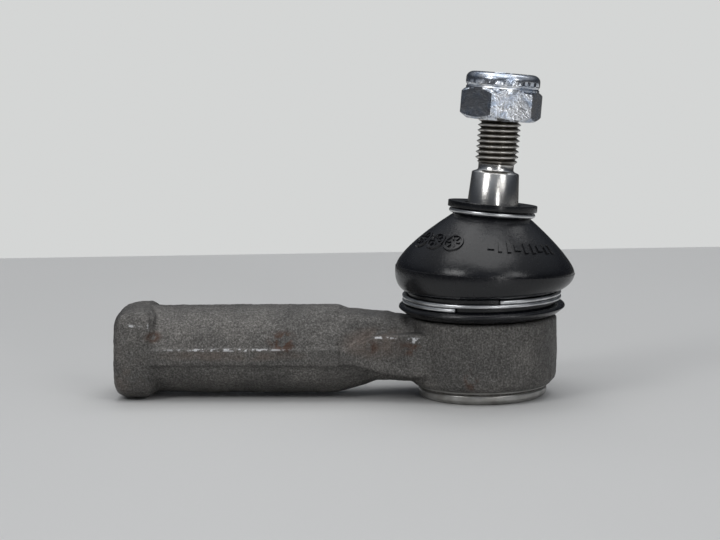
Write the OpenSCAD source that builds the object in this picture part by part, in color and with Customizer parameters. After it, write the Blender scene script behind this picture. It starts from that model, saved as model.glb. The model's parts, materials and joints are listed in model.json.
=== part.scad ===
// Tie rod end: a forged shank with a ball joint, a rubber boot and a lock nut.
// Millimetres. The origin is the centre of the rod thread's mouth on the shank's
// end face. +X runs along the shank to the ball, and +Z is up, towards the stud.

/* [Shank] */
// Distance from the shank's end face to the ball's axis
reach = 86; // [80:1:110]
// Diameter of the round shank
shank_d = 20.8; // [19:0.1:25]
// Length of the round shank, from the end face to where the neck begins
shank_len = 54; // [48:1:60]
// Length of the squared collar at the end face
collar_len = 8.8; // [6:0.1:11]
// How far the collar's flats stand out past the shank
collar_step = 0.6; // [0.4:0.1:1.2]
// Diameter across the collar's rounded corners
collar_round_d = 25.8; // [25:0.1:30]
// Length of the sloping bevel across the top of the end face
bevel_len = 4.9; // [3:0.1:6]
// Height of the sloping bevel across the top of the end face
bevel_h = 3.3; // [2:0.1:3.4]
// Height of the trimmed band along the shank's sides
flash_h = 3.7; // [2:0.1:6]
// How far the trimmed band stands out
flash_out = 0.3; // [0.1:0.1:0.6]
// Height of the neck between shank and cup
neck_h = 15.8; // [12:0.1:18]
// Width of the neck between shank and cup
neck_w = 15; // [12:0.1:18]
// Height of the neck's middle above the shank's axis
neck_up = 0.8; // [0:0.1:1.2]

/* [Rod thread] */
// Major diameter of the internal thread for the rod
rod_thread_d = 14; // [10:0.5:14.5]
// Pitch of the internal thread
rod_pitch = 1.5; // [1:0.25:2]
// Depth of the internal thread
rod_thread_len = 40; // [30:1:44]

/* [Ball joint] */
// Diameter of the ball
ball_d = 20; // [16:0.1:24]
// Wall of the plastic seats around the ball
seat_wall = 1.9; // [1.5:0.1:2.5]
// Running clearance between ball and seats
ball_gap = 0.05; // [0.02:0.01:0.1]
// Clearance between the seats and the cup's bore
seat_gap = 0.05; // [0.02:0.01:0.1]
// Gap that the preload spring holds between the two seats
seat_split = 0.4; // [0.2:0.1:0.8]
// Floor of the lower seat under the ball
seat_floor = 1.5; // [1:0.1:2]
// Wall of the cup around the seats
cup_wall = 5.5; // [4.5:0.1:7]
// Wall of the spigot that the boot sits on
spigot_wall = 3.3; // [2.5:0.1:4.2]
// How much smaller the cup's mouth is than the ball, on the radius
mouth_lip = 0.6; // [0.4:0.1:1]
// Height of the flared rim above the mouth
mouth_flare = 2.7; // [1.5:0.1:3.2]
// Free height of the preload spring as fitted
spring_h = 1.2; // [1:0.1:1.6]
// Sheet thickness of the preload spring
spring_t = 0.7; // [0.5:0.1:0.8]
// Thickness of the closing cover
cover_t = 1.2; // [1:0.1:1.6]
// Thickness of the rolled lip that holds the cover
rolled_lip = 0.6; // [0.5:0.1:1]
// Wall of the machined ring at the cup's foot
foot_wall = 3; // [2.6:0.1:3.4]
// Height of the machined ring at the cup's foot
foot_h = 3; // [2.6:0.1:3.4]

/* [Stud] */
// Diameter of the stud's neck above the ball
neck_d = 9.5; // [8:0.1:10]
// Largest diameter of the 1:8 taper, where it enters the boot
taper_d = 12.5; // [11:0.1:13]
// Height of the taper's large end above the ball's centre
taper_low = 26; // [25:0.1:27]
// Length of the taper
taper_len = 11.8; // [10:0.1:12.5]
// Diameter of the undercut below the thread
undercut_d = 8.3; // [7.5:0.1:8.5]
// Length of the undercut
undercut_len = 2; // [1.5:0.1:2.5]
// Major diameter of the stud's thread
stud_thread_d = 10; // [9:0.5:10.5]
// Pitch of the stud's thread
stud_pitch = 1.25; // [1:0.25:1.5]
// Length of the stud's thread
stud_thread_len = 20; // [18:0.5:24]

/* [Boot] */
// Largest diameter of the boot
boot_d = 42.1; // [40:0.1:51]
// Wall of the boot
boot_wall = 1.9; // [1.4:0.1:2.2]
// Clearance between the boot and the steel parts that it sits on
boot_gap = 0.3; // [0.2:0.05:0.4]
// Diameter of the boot's bottom flange
flange_d = 39; // [38:0.1:40.5]
// Thickness of the boot's bottom flange
flange_t = 2.8; // [2:0.1:3]
// Height of the boot's top lip above the ball's centre, along the stud
boot_rise = 30.7; // [29:0.1:33]
// Diameter of the boot's top lip
lip_d = 20.9; // [19:0.1:23]
// Thickness of the boot's top lip
lip_t = 1.55; // [1.2:0.05:2]

/* [Clip rings] */
// Wire diameter of the upper ring
upper_wire = 1.2; // [0.8:0.1:1.4]
// Outer diameter of the upper ring
upper_ring_d = 20.2; // [19:0.1:22]
// Wire diameter of the lower ring
lower_wire = 1; // [0.8:0.1:1.1]
// Outer diameter of the lower ring
lower_ring_d = 37.2; // [36.6:0.1:38]
// Number of turns in the lower ring
lower_turns = 1.91; // [1.5:0.01:2.1]
// Direction in which the lower ring's wire starts
lower_start = 252; // [0:1:359]

/* [Lock nut] */
// Width across the nut's flats
nut_af = 17; // [16:0.5:19]
// Height of the nut's hexagon
hex_h = 7.5; // [7:0.1:10]
// Height of the round cap above the hexagon
cap_h = 3.5; // [3:0.1:4]
// Diameter of the round cap
cap_d = 17.3; // [16:0.1:17.5]
// Wall of the round cap around the nylon ring
cap_wall = 1.1; // [0.8:0.1:1.4]
// Height of the nut's underside above the ball's centre, along the stud
nut_rise = 50; // [46:0.5:52]
// Clearance between the nut's bore and the thread's crests
nut_gap = 0.05; // [0.03:0.01:0.1]
// Direction of one of the nut's corners
nut_turn0 = 17; // [0:1:59]

/* [Rest pose] */
// Angle by which the stud leans from upright
lean = 6.5; // [0:0.5:15]
// Direction in which the stud leans, from +X towards +Y
lean_dir = 38; // [0:1:359]

/* [Hidden] */
$fn = 64;
eps = 0.01;

// Steel, plastic and rubber, as they look
forged = "#54524f";
bright = "#b9bcc0";
nylon = "#e6e3d4";
plastic = "#d9d7cc";
rubber = "#1c1d20";

// Heights in the joint, from the plane that the part stands on
shank_r = shank_d / 2;
ball_r = ball_d / 2;
base_z = -shank_r - collar_step;
cover_z = base_z + rolled_lip;
spring_z = cover_z + cover_t;
seat_z = spring_z + spring_h;
ball_z = seat_z + seat_floor + ball_gap + ball_r;

// Radii of the cup, from the ball outwards
seat_in = ball_r + ball_gap;
seat_out = seat_in + seat_wall;
bore_r = seat_out + seat_gap;
cup_r = bore_r + cup_wall;
foot_r = bore_r + foot_wall;
spigot_r = bore_r + spigot_wall;
cover_r = bore_r + foot_wall / 2 - 0.2;
mouth_r = ball_r - mouth_lip;
mouth_h = sqrt(bore_r * bore_r - mouth_r * mouth_r);
rim_z = ball_z + mouth_h + mouth_flare;
wire_pitch = lower_wire + 0.06;
shoulder_z = rim_z - (lower_wire + wire_pitch + flange_t + boot_gap + 0.8);
cup_round = 2;

// Thread forms: the share of the pitch that the thread is deep, and its crest flat
thread_depth = 0.6;
inner_depth = 0.5413;
crest = 0.2;

// Boot: the ring grooves and the clip rings' places, above the ball's centre
flange_h = shoulder_z + boot_gap - ball_z;
groove_r = lower_ring_d / 2 - lower_wire - 0.15;
lower_ring_h = flange_h + flange_t + lower_wire / 2 + 0.15;
groove_top = lower_ring_h + wire_pitch * lower_turns + lower_wire / 2;
neck_groove_r = upper_ring_d / 2 - upper_wire - 0.15;
lip_h = boot_rise - lip_t;
upper_ring_h = lip_h - 0.15 - upper_wire / 2;
shoulder_h = upper_ring_h - upper_wire / 2 - 0.3;
boot_r = boot_d / 2;
boot_mid_h = groove_top + (shoulder_h - groove_top) * 0.27;
boot_in = taper_d / 2 + boot_gap;
boot_sides = 48;

// A point of the leaned stud's frame, turned about the ball's centre by a share of the lean
function turned(p, w) = let(
    a = lean * w,
    u = p[0] * cos(lean_dir) + p[1] * sin(lean_dir),
    v = -p[0] * sin(lean_dir) + p[1] * cos(lean_dir),
    x = u * cos(a) + p[2] * sin(a),
    z = -u * sin(a) + p[2] * cos(a)
  ) [reach + x * cos(lean_dir) - v * sin(lean_dir),
     x * sin(lean_dir) + v * cos(lean_dir),
     ball_z + z];

// The share of the lean that the boot has at a height: none at its flange, all at its lip
function boot_share(h) = h <= groove_top ? 0 : h >= shoulder_h ? 1
  : 1 - pow(1 - (h - groove_top) / (shoulder_h - groove_top), 3);

// Puts the stud's own frame, with the ball's centre at zero, into its leaned place
module leaned() {
  translate([reach, 0, ball_z])
    rotate([0, 0, lean_dir]) rotate([0, lean, 0]) rotate([0, 0, -lean_dir])
      children();
}

// Half of a thread's outline: ridges along Y from y = 0, with the crests at radius r_crest
function ridges(r_crest, r_root, pitch, length) = [
  for (i = [0 : floor(length / pitch) - 1])
    for (p = [[r_root, 0.15], [r_crest, 0.5 - crest / 2], [r_crest, 0.5 + crest / 2], [r_root, 0.85]])
      [p[0], (i + p[1]) * pitch]
];

// A revolved solid about the X axis from points of [distance along X, radius]
module along_x(points) {
  rotate([0, 90, 0]) rotate_extrude()
    polygon([for (p = points) [p[1], p[0]]]);
}

// A closed skin over rings of points that all have the same number of points
module skin(rings, closed = false) {
  n = len(rings[0]);
  m = len(rings);
  last = closed ? m : m - 1;
  sides = [for (i = [0 : last - 1]) for (j = [0 : n - 1])
    [i * n + j, i * n + (j + 1) % n, ((i + 1) % m) * n + (j + 1) % n, ((i + 1) % m) * n + j]];
  caps = closed ? [] : [[for (j = [n - 1 : -1 : 0]) j], [for (j = [0 : n - 1]) (m - 1) * n + j]];
  polyhedron(points = [for (r = rings) for (p = r) p], faces = concat(sides, caps), convexity = 6);
}

module rod_thread_cut() {
  minor_r = rod_thread_d / 2 - inner_depth * rod_pitch;
  mouth = 0.4;
  land = 0.4;
  turns = ridges(minor_r, rod_thread_d / 2, rod_pitch, rod_thread_len - mouth - 2 * land);
  along_x(concat(
    [[-1, 0], [-1, minor_r + mouth + 1], [mouth, minor_r], [mouth + land, minor_r]],
    [for (p = turns) [p[1] + mouth + land, p[0]]],
    [[rod_thread_len - land, minor_r], [rod_thread_len, minor_r],
     [rod_thread_len + minor_r / 2, 0]]));
}

module shank() {
  neck_r = neck_h / 2;
  along_x([[0.4, 0], [0.4, shank_r - 0.4], [collar_len, shank_r], [shank_len - 1, shank_r],
           [shank_len + 1, shank_r - 0.9], [shank_len + 5, neck_r + 0.3],
           [shank_len + 9, neck_r - 0.4], [reach - cup_r + 2, neck_r - 0.4], [reach - cup_r + 2, 0]]);
  // Flat-sided neck
  translate([shank_len + 2, -neck_w / 2, neck_up - neck_h / 2])
    cube([reach - shank_len - cup_r + 2, neck_w, neck_h]);
  // Trimmed band along both sides
  translate([collar_len - 1, -shank_r - flash_out, -flash_h / 2])
    cube([shank_len - collar_len + 1, shank_d + 2 * flash_out, flash_h]);
  // Sheared web that widens from the neck into the cup
  translate([0, 0, -flash_h]) linear_extrude(flash_h * 2)
    polygon([[shank_len - 1, -neck_w / 2 - 1], [shank_len + 6, -neck_w / 2 - 0.8],
             [reach - 9, -cup_r * 0.78], [reach - 9, cup_r * 0.78],
             [shank_len + 6, neck_w / 2 + 0.8], [shank_len - 1, neck_w / 2 + 1]]);
}

module collar() {
  w = 2 * (shank_r + collar_step);
  rotate([0, 90, 0]) intersection() {
    translate([-w / 2, -w / 2, 0]) cube([w, w, collar_len]);
    union() {
      cylinder(d1 = collar_round_d - 2.4, d2 = collar_round_d, h = 1.2);
      translate([0, 0, 1.2]) cylinder(d = collar_round_d, h = collar_len - 2);
      translate([0, 0, collar_len - 0.8])
        cylinder(d1 = collar_round_d, d2 = collar_round_d - 1.6, h = 0.8);
    }
  }
}

// Sloping bevel across the top of the end face
module end_bevel_cut() {
  top = shank_r + collar_step;
  slope = bevel_h / bevel_len;
  rotate([90, 0, 0]) linear_extrude(collar_round_d, center = true)
    polygon([[-1, top - bevel_h - slope], [bevel_len + 1, top + slope], [-1, top + slope]]);
}

module cup_body() {
  foot_top = base_z + foot_h;
  rotate_extrude() polygon([
    [0, base_z], [foot_r - 0.5, base_z], [foot_r, base_z + 0.5], [foot_r, foot_top],
    [cup_r - cup_round / 2, foot_top + 0.4], [cup_r, foot_top + cup_round],
    [cup_r, shoulder_z - 0.6], [cup_r - 0.6, shoulder_z], [spigot_r, shoulder_z],
    [spigot_r, rim_z - 0.5], [spigot_r - 0.5, rim_z], [0, rim_z]]);
}

module cup_cavity() {
  lip_r = cover_r - 1;
  translate([0, 0, base_z - 1]) cylinder(r = lip_r, h = 2 + rolled_lip);
  translate([0, 0, cover_z]) cylinder(r = cover_r + seat_gap, h = cover_t);
  translate([0, 0, cover_z]) cylinder(r = bore_r, h = ball_z - cover_z);
  translate([0, 0, ball_z]) sphere(r = bore_r);
  translate([0, 0, ball_z]) cylinder(r = mouth_r, h = mouth_h + mouth_flare / 2);
  translate([0, 0, ball_z + mouth_h])
    cylinder(r1 = mouth_r, r2 = mouth_r + mouth_flare * 0.6, h = mouth_flare + eps);
}

// Turned seat for the boot's flange, where the neck would stand in its way
module boot_seat_cut() {
  seat_clear = 0.8;
  translate([0, 0, shoulder_z]) difference() {
    cylinder(r = flange_d / 2 + seat_clear, h = cup_r);
    translate([0, 0, -1]) cylinder(r = spigot_r, h = cup_r + 2);
  }
}

module housing() {
  color(forged) difference() {
    union() {
      shank();
      collar();
      translate([reach, 0, 0]) cup_body();
    }
    translate([reach, 0, 0]) cup_cavity();
    translate([reach, 0, 0]) boot_seat_cut();
    end_bevel_cut();
    rod_thread_cut();
  }
}

module end_cover() {
  dish_r = cover_r - 4;
  color(bright) translate([reach, 0, cover_z]) rotate_extrude()
    polygon([[0, 0.4], [dish_r - 1, 0.4], [dish_r, 0], [cover_r, 0], [cover_r, cover_t], [0, cover_t]]);
}

module preload_spring() {
  inner_r = ball_r / 2;
  outer_r = bore_r - 0.4;
  color(bright) translate([reach, 0, spring_z]) rotate_extrude()
    polygon([[inner_r, spring_h - spring_t], [outer_r, 0], [outer_r, spring_t], [inner_r, spring_h]]);
}

module lower_seat() {
  well_r = 3;
  well_depth = 0.7;
  color(plastic) translate([reach, 0, 0]) difference() {
    translate([0, 0, seat_z]) cylinder(r = seat_out, h = ball_z - seat_split / 2 - seat_z);
    translate([0, 0, ball_z]) sphere(r = seat_in);
    translate([0, 0, ball_z - seat_in - well_depth]) cylinder(r = well_r, h = well_depth + 1);
  }
}

module upper_seat() {
  seat_mouth_r = mouth_r - 0.6;
  color(plastic) translate([reach, 0, ball_z]) difference() {
    intersection() {
      sphere(r = seat_out);
      translate([0, 0, seat_split / 2]) cylinder(r = seat_out + 1, h = mouth_h - 0.6);
    }
    sphere(r = seat_in);
    cylinder(r = seat_mouth_r, h = bore_r);
  }
}

module ball_stud() {
  flat = 0.6;
  taper_top = taper_low + taper_len;
  taper_end_r = taper_d / 2 - taper_len / 16;
  thread_h = taper_top + undercut_len;
  thread_r = stud_thread_d / 2;
  root_r = thread_r - thread_depth * stud_pitch;
  undercut_r = undercut_d / 2;
  turns = ridges(thread_r, root_r, stud_pitch, stud_thread_len);
  end_h = thread_h + stud_thread_len;
  color(bright) leaned() {
    difference() {
      sphere(r = ball_r);
      translate([0, 0, -ball_r - 1]) cylinder(r = ball_r, h = 1 + flat);
    }
    rotate_extrude() polygon(concat(
      [[0, 0], [neck_d / 2, 0], [neck_d / 2, taper_low - 4], [taper_d / 2 - 0.2, taper_low - 1],
       [taper_d / 2, taper_low], [taper_end_r, taper_top], [undercut_r, taper_top + 0.4],
       [undercut_r, thread_h - 0.2], [root_r, thread_h]],
      [for (p = turns) [p[0], p[1] + thread_h]],
      [[root_r, end_h], [root_r - 0.6, end_h + 0.6], [0, end_h + 0.6]]));
  }
}

// Outline of the boot's wall as [radius, height], up its outside and down its inside
function boot_outline() = let(
    out_r = boot_r - groove_r,
    in_r = spigot_r + boot_gap,
    rise = shoulder_h - boot_mid_h,
    drop = boot_mid_h - groove_top,
    neck_r = neck_groove_r + 0.4,
    skirt_r = flange_d / 2 - 1.6,
    wide_h = flange_h + flange_t * 0.6
  ) concat(
    [[in_r, flange_h], [skirt_r, flange_h], [flange_d / 2, wide_h],
     [flange_d / 2 - 0.3, flange_h + flange_t - 0.3], [groove_r + 0.2, flange_h + flange_t],
     [groove_r, flange_h + flange_t + 0.2], [groove_r, groove_top - 0.2]],
    [for (s = [0.15 : 0.283 : 1]) [groove_r + out_r * sin(90 * s), boot_mid_h - drop * cos(90 * s)]],
    [for (s = [0 : 0.2 : 1]) [boot_r - (boot_r - neck_r) * pow(s, 1.2), boot_mid_h + rise * s]],
    [[neck_groove_r, shoulder_h + 0.1], [neck_groove_r, lip_h], [lip_d / 2, lip_h],
     [lip_d / 2, boot_rise], [boot_in, boot_rise], [boot_in, shoulder_h - 1]],
    [for (s = [1 : -0.25 : 0.25])
      [boot_r - boot_wall - (boot_r - boot_wall - boot_in) * pow(s, 1.2),
       boot_mid_h + (rise - boot_wall) * s]],
    [[boot_r - boot_wall, boot_mid_h], [boot_r - boot_wall - 0.6, boot_mid_h - drop * 0.6],
     [in_r, groove_top + 0.4]]);

module dust_boot() {
  outline = boot_outline();
  n = len(outline);
  color(rubber) skin([
    for (k = [0 : boot_sides - 1])
      let(a = -360 * k / boot_sides)
      [for (p = outline) turned([p[0] * cos(a), p[0] * sin(a), p[1]], boot_share(p[1]))]
  ], closed = true);
}

module lower_ring() {
  steps = 44;
  sides = 8;
  r = lower_ring_d / 2 - lower_wire / 2;
  color(bright) skin([
    for (k = [0 : round(steps * lower_turns)])
      let(a = lower_start - 360 * k / steps, h = lower_ring_h + wire_pitch * k / steps)
      [for (j = [0 : sides - 1])
        let(b = 360 * j / sides, q = r + lower_wire / 2 * cos(b))
        [reach + q * cos(a), q * sin(a), ball_z + h + lower_wire / 2 * sin(b)]]
  ]);
}

module upper_ring() {
  color(bright) leaned() translate([0, 0, upper_ring_h]) rotate_extrude()
    translate([(upper_ring_d - upper_wire) / 2, 0]) circle(d = upper_wire);
}

module lock_nut() {
  corner_r = nut_af / sqrt(3);
  bore = stud_thread_d / 2 + nut_gap;
  cap_r = cap_d / 2;
  color(bright) leaned() translate([0, 0, nut_rise]) difference() {
    union() {
      intersection() {
        rotate([0, 0, nut_turn0]) linear_extrude(hex_h) circle(r = corner_r, $fn = 6);
        rotate_extrude() polygon([[0, 0], [nut_af / 2 - 0.3, 0], [corner_r + 0.1, 1],
          [corner_r + 0.1, hex_h - 1.1], [nut_af / 2 - 0.2, hex_h], [0, hex_h]]);
      }
      rotate_extrude() polygon([[0, hex_h - 1], [cap_r, hex_h - 1], [cap_r, hex_h + cap_h * 0.62],
        [cap_r - 0.35, hex_h + cap_h * 0.8], [cap_r - 1, hex_h + cap_h * 0.95],
        [cap_r - 1.7, hex_h + cap_h], [0, hex_h + cap_h]]);
    }
    translate([0, 0, -1]) cylinder(r = bore, h = hex_h + cap_h + 2);
    translate([0, 0, -eps]) cylinder(r1 = bore + 0.8, r2 = bore, h = 0.8);
    translate([0, 0, hex_h]) cylinder(r = cap_r - cap_wall, h = cap_h - 0.8);
    translate([0, 0, hex_h]) cylinder(r = cap_r - cap_wall - 1, h = cap_h + 1);
  }
}

module nut_insert() {
  color(nylon) leaned() translate([0, 0, nut_rise + hex_h + 0.05]) difference() {
    cylinder(d = cap_d - 2 * cap_wall - 0.1, h = cap_h - 0.9);
    translate([0, 0, -1]) cylinder(r = stud_thread_d / 2 + nut_gap, h = cap_h + 2);
  }
}

housing();
end_cover();
preload_spring();
lower_seat();
upper_seat();
ball_stud();
dust_boot();
lower_ring();
upper_ring();
nut_insert();
lock_nut();
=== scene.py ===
"""Tie rod end: detailed pieces, materials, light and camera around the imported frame.

Shapes are built in millimetres and stored in metres. Heights marked "along the stud"
are measured from the ball's centre, in the frame of the leaned stud.
"""
import json
import math

import bmesh
import bpy
from mathutils import Matrix, Vector, noise


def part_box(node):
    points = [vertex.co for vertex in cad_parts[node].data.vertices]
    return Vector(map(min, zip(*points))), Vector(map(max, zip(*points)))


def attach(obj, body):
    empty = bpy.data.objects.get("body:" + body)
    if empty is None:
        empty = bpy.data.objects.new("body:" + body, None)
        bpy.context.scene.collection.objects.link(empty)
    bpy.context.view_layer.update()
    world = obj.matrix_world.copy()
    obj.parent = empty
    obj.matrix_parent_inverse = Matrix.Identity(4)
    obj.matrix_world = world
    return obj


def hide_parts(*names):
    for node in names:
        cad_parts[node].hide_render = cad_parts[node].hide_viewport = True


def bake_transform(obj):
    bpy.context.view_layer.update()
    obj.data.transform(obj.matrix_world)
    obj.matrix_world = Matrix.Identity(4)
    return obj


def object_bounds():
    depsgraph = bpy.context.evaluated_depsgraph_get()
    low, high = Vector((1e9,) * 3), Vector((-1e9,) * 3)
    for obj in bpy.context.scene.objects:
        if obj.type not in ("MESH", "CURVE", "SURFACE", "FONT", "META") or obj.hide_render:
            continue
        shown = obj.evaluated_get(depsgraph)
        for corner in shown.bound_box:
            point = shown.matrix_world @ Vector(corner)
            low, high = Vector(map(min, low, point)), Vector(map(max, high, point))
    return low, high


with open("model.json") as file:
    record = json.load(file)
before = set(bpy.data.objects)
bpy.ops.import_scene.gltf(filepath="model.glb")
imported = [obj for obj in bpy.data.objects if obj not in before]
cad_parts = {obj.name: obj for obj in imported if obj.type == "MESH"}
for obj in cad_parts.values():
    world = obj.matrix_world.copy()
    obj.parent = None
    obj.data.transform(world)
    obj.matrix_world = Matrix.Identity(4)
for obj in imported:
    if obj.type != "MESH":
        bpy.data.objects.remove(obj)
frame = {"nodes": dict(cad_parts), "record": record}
cad_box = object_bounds()

MM = 0.001
JOINTS = {j["name"]: j for j in frame["record"]["behaviour"]["joints"]}
BALL = Vector(JOINTS["stud_tilt"]["pos_m"]) / MM
SPIN = Vector(JOINTS["stud_spin"]["axis"])
LEAN = SPIN.angle(Vector((0, 0, 1)))
LEAN_DIR = math.atan2(SPIN.y, SPIN.x)


def low(node):
    """Lowest corner of a CAD node, in millimetres."""
    return Vector(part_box(node)[0]) / MM


def high(node):
    """Highest corner of a CAD node, in millimetres."""
    return Vector(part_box(node)[1]) / MM


# ---------------------------------------------------------------- sizes, millimetres
BASE_Z = low("housing").z
RIM_Z = high("housing").z
SHANK_R = 10.4
SHANK_LEN = 54.0
COLLAR_LEN = 8.8
CUP_WALL, FOOT_WALL, SPIGOT_WALL = 5.5, 3.0, 3.3
CUP_R = high("housing").x - BALL.x
BORE_R = CUP_R - CUP_WALL
FOOT_R = BORE_R + FOOT_WALL
FOOT_H = 3.0
SPIGOT_R = BORE_R + SPIGOT_WALL
ROD_MAJOR_R, ROD_PITCH, ROD_DEPTH = 7.0, 1.5, 40.0
INNER_DEPTH, OUTER_DEPTH = 0.5413, 0.61  # thread depths as shares of the pitch
BORE_CLEAR = 0.4  # the forging stays this far outside the rod thread's roots
BOOT_GAP = 0.3  # between the boot and the metal inside it
FLANGE_LIFT = 0.5  # the flange is this much thinner below than in the CAD, on a higher shoulder
FLANGE_H = low("dust_boot").z - BALL.z + FLANGE_LIFT
SHOULDER_Z = low("dust_boot").z - BOOT_GAP + FLANGE_LIFT
FLANGE_T = 2.8 - FLANGE_LIFT
LOWER_WIRE = 1.0
LOWER_R = (high("lower_ring").y - low("lower_ring").y) / 2 - LOWER_WIRE / 2
LOWER_H = low("lower_ring").z - BALL.z + LOWER_WIRE / 2
LOWER_PITCH, LOWER_TURNS, LOWER_START = 1.06, 1.91, math.radians(252)
GROOVE_TOP = LOWER_H + LOWER_PITCH * LOWER_TURNS + LOWER_WIRE / 2
UPPER_WIRE, UPPER_R = 1.2, 9.5
BOOT_R, BOOT_WALL, BOOT_RISE = 21.0, 1.9, 30.7
LIP_R, LIP_T = 10.45, 1.55
WIRE_CLEAR = 0.15  # between a wire ring and its groove
NECK_GROOVE_R = UPPER_R - UPPER_WIRE / 2 - WIRE_CLEAR
UPPER_H = BOOT_RISE - LIP_T - WIRE_CLEAR - UPPER_WIRE / 2
SHOULDER_H = UPPER_H - UPPER_WIRE / 2 - 0.3
BOOT_MID_SHARE = 0.27
BOOT_MID_H = GROOVE_TOP + (SHOULDER_H - GROOVE_TOP) * BOOT_MID_SHARE
MOULD_STEP = 0.2  # the boot's two mould halves meet in a step this deep
SHOULDER_POWER = 1.36  # curve of the boot's shoulder
BALL_R, STUD_NECK_R = 10.0, 4.75
TAPER_LOW, TAPER_LEN, TAPER_R = 26.0, 11.8, 6.25
TAPER_TOP = TAPER_LOW + TAPER_LEN
TAPER_END_R = TAPER_R - TAPER_LEN / 16
UNDERCUT_R, THREAD_H = 4.15, TAPER_TOP + 2.0
THREAD_R, THREAD_PITCH, THREAD_LEN = 5.0, 1.25, 20.0
NUT_RISE, HEX_H, CAP_H, CAP_R = 50.0, 7.5, 3.5, 8.65
HEX_FLAT_R = 8.5
HEX_CORNER_R = HEX_FLAT_R * 2 / math.sqrt(3)
NUT_TURN = math.radians(17)
TURN = 2 * math.pi


# ---------------------------------------------------------------- placing
def in_cup(p):
    """From the cup's own frame, with the ball's centre at zero, to the part's frame."""
    return BALL + Vector(p)


def turned(p, share=1.0):
    """From the leaned stud's frame to the part's frame, with a share of the lean."""
    swing = Matrix.Rotation(LEAN_DIR, 3, "Z") @ Matrix.Rotation(LEAN * share, 3, "Y")
    return BALL + swing @ Matrix.Rotation(-LEAN_DIR, 3, "Z") @ Vector(p)


def boot_share(h):
    """The share of the lean that the boot has at a height along the stud."""
    t = (h - GROOVE_TOP) / (SHOULDER_H - GROOVE_TOP)
    return 1 - (1 - min(max(t, 0.0), 1.0)) ** 3


# ---------------------------------------------------------------- mesh helpers
def make_object(name, bm, sharp=35):
    """Turns a bmesh in millimetres into an object in metres with sharp edges marked."""
    bmesh.ops.recalc_face_normals(bm, faces=bm.faces)
    limit = math.radians(sharp)
    for face in bm.faces:
        face.smooth = True
    for edge in bm.edges:
        if len(edge.link_faces) == 2 and edge.calc_face_angle(0) > limit:
            edge.smooth = False
    bmesh.ops.scale(bm, vec=(MM, MM, MM), verts=bm.verts)
    mesh = bpy.data.meshes.new(name)
    bm.to_mesh(mesh)
    bm.free()
    piece = bpy.data.objects.new(name, mesh)
    bpy.context.scene.collection.objects.link(piece)
    return piece


def skin(bm, rings, closed=False):
    """Quads over rings of points; the ends are capped unless the skin is closed."""
    loops = [[bm.verts.new(p) for p in ring] for ring in rings]
    count = len(loops[0])
    pairs = list(zip(loops, loops[1:])) + ([(loops[-1], loops[0])] if closed else [])
    for a, b in pairs:
        for j in range(count):
            k = (j + 1) % count
            bm.faces.new((a[j], a[k], b[k], b[j]))
    if not closed:
        bm.faces.new(loops[0][::-1])
        bm.faces.new(loops[-1])


def rounded(points, radius, steps=4):
    """A closed outline with its corners rounded by short curves."""
    out = []
    count = len(points)
    for i, corner in enumerate(points):
        b = Vector(corner)
        a = Vector(points[i - 1])
        c = Vector(points[(i + 1) % count])
        reach_a = min(radius, (a - b).length * 0.45)
        reach_c = min(radius, (c - b).length * 0.45)
        p = b + (a - b).normalized() * reach_a
        q = b + (c - b).normalized() * reach_c
        for s in range(steps + 1):
            t = s / steps
            out.append(p * (1 - t) ** 2 + b * 2 * t * (1 - t) + q * t * t)
    return out


def revolve(bm, outline, place, sides=128):
    """A ring-shaped solid: a closed [radius, height] outline turned about the Z axis."""
    rings = []
    for k in range(sides):
        a = TURN * k / sides
        rings.append([place((p[0] * math.cos(a), p[0] * math.sin(a), p[1])) for p in outline])
    skin(bm, rings, closed=True)


def stack(bm, profile, place, sides=96):
    """A solid of stacked rings; each profile row is a height and a radius or a function of angle."""
    rings = []
    for h, radius in profile:
        ring = []
        for k in range(sides):
            a = TURN * k / sides
            r = radius(a) if callable(radius) else radius
            ring.append(place((r * math.cos(a), r * math.sin(a), h)))
        rings.append(ring)
    skin(bm, rings)


def tube(bm, path, radius, sides=12, bevel=0.2):
    """A round wire along a path of points, with slightly rounded ends."""
    rings = []
    last = len(path) - 1
    for i, p in enumerate(path):
        along = (path[min(i + 1, last)] - path[max(i - 1, 0)]).normalized()
        side = along.cross(Vector((0, 0, 1))).normalized()
        up = side.cross(along)
        ends = [(0.0, radius)]
        if i == 0:
            ends = [(-bevel, radius - bevel), (0.0, radius)]
        if i == last:
            ends = [(0.0, radius), (bevel, radius - bevel)]
        for shift, r in ends:
            rings.append([p + along * shift + (side * math.cos(TURN * j / sides)
                          + up * math.sin(TURN * j / sides)) * r for j in range(sides)])
    skin(bm, rings)


def finished(piece, mods):
    """Applies modifiers, given as (type, settings), and leaves plain mesh data."""
    for kind, settings in mods:
        mod = piece.modifiers.new(kind.lower(), kind)
        for key, value in settings.items():
            setattr(mod, key, value)
    bpy.context.view_layer.update()
    graph = bpy.context.evaluated_depsgraph_get()
    mesh = bpy.data.meshes.new_from_object(piece.evaluated_get(graph))
    piece.modifiers.clear()
    piece.data = mesh
    return piece


def remove(piece):
    bpy.data.objects.remove(piece, do_unlink=True)


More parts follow.
